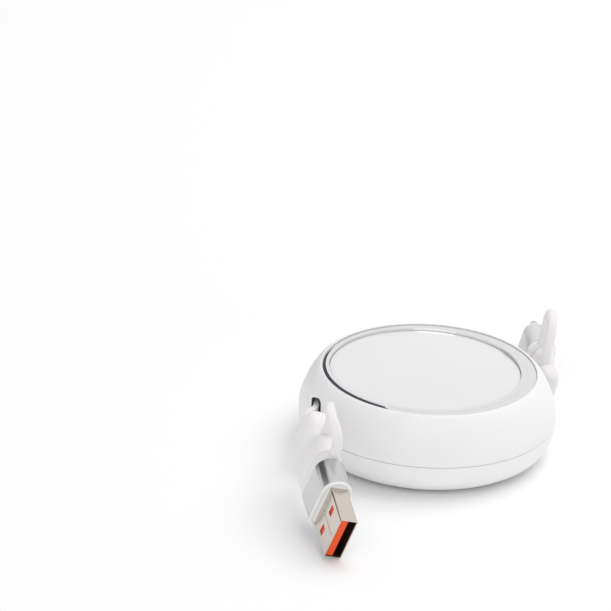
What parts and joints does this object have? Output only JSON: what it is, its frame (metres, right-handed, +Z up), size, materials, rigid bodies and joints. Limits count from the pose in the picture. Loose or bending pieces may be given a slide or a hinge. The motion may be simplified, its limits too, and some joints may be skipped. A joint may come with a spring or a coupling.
{
  "type": "multi-connector charging cable",
  "caption": "Round reel case with a flat charging cable that pulls out both ways; each plug carries a tethered, pull-off adapter.",
  "frame": {"origin": "centre of the case's flat base, on the reel axis", "axes": "+Z up along the reel axis, the cable pays out along -Y at the left and +Y at the right"},
  "size_m": [0.068, 0.1198, 0.0311],
  "materials": {
    "case_white": "matte",
    "gloss_white": "gloss",
    "mirror_chrome": "polished",
    "inner_plastic": "matte",
    "spring_steel": "satin",
    "soft_white": "matte",
    "plug_steel": "satin",
    "contact_plastic": "matte",
    "satin_metal": "satin",
    "orange_plastic": "satin",
    "contact_gold": "polished"
  },
  "bodies": {
    "case": {"lower_shell": "case_white", "upper_shell": "case_white", "bezel_ring": "mirror_chrome", "inlay_disc": "gloss_white", "axle_post": "inner_plastic", "axle_clip": "spring_steel", "pawl_pin": "spring_steel"},
    "reel": {"reel_drum": "inner_plastic", "reel_flange": "inner_plastic", "cable_coil": "soft_white", "spiral_spring": "spring_steel", "spring_cover": "spring_steel"},
    "pawl": {"ratchet_pawl": "inner_plastic"},
    "usb_end": {"usb_lead": "soft_white", "usb_grip": "soft_white", "usb_tether": "soft_white", "usb_base_shell": "plug_steel", "usb_base_insert": "contact_plastic"},
    "usb_adapter": {"usb_collar": "case_white", "usb_sleeve": "satin_metal", "usb_core": "gloss_white", "usb_a_shell": "plug_steel", "usb_a_tongue": "orange_plastic", "usb_a_contacts": "contact_gold"},
    "phone_end": {"phone_lead": "soft_white", "phone_grip": "soft_white", "phone_tether": "soft_white", "phone_base_shell": "plug_steel", "phone_base_insert": "contact_plastic"},
    "phone_adapter": {"phone_collar": "case_white", "phone_sleeve": "satin_metal", "phone_core": "gloss_white", "phone_tip": "plug_steel", "phone_contacts": "contact_gold"}
  },
  "joints": [
    {"name": "reel_spin", "type": "hinge", "parent": "case", "child": "reel", "pos_m": [0, 0, 0.01], "axis": [0, 0, 1], "range_deg": [0, 1080]},
    {"name": "pawl_swing", "type": "hinge", "parent": "case", "child": "pawl", "pos_m": [0.0142, 0, 0.0158], "axis": [0, 0, 1], "range_deg": [-8, 4], "stiffness_Nm_per_rad": 0.00002},
    {"name": "usb_end_pull", "type": "slide", "parent": "case", "child": "usb_end", "axis": [0, -1, 0], "range_m": [0, 0.4166]},
    {"name": "phone_end_pull", "type": "slide", "parent": "case", "child": "phone_end", "axis": [0, 1, 0], "range_m": [0, 0.4166]},
    {"name": "usb_adapter_pull", "type": "slide", "parent": "usb_end", "child": "usb_adapter", "axis": [0.2322, -0.9381, -0.2571], "range_m": [0, 0.0075]},
    {"name": "phone_adapter_pull", "type": "slide", "parent": "phone_end", "child": "phone_adapter", "axis": [-0.0957, 0.9935, 0.061], "range_m": [0, 0.0075]}
  ],
  "couplings": [
    {"joint": "usb_end_pull", "follows": "reel_spin", "m_per_rad": 0.0221},
    {"joint": "phone_end_pull", "follows": "reel_spin", "m_per_rad": 0.0221}
  ]
}
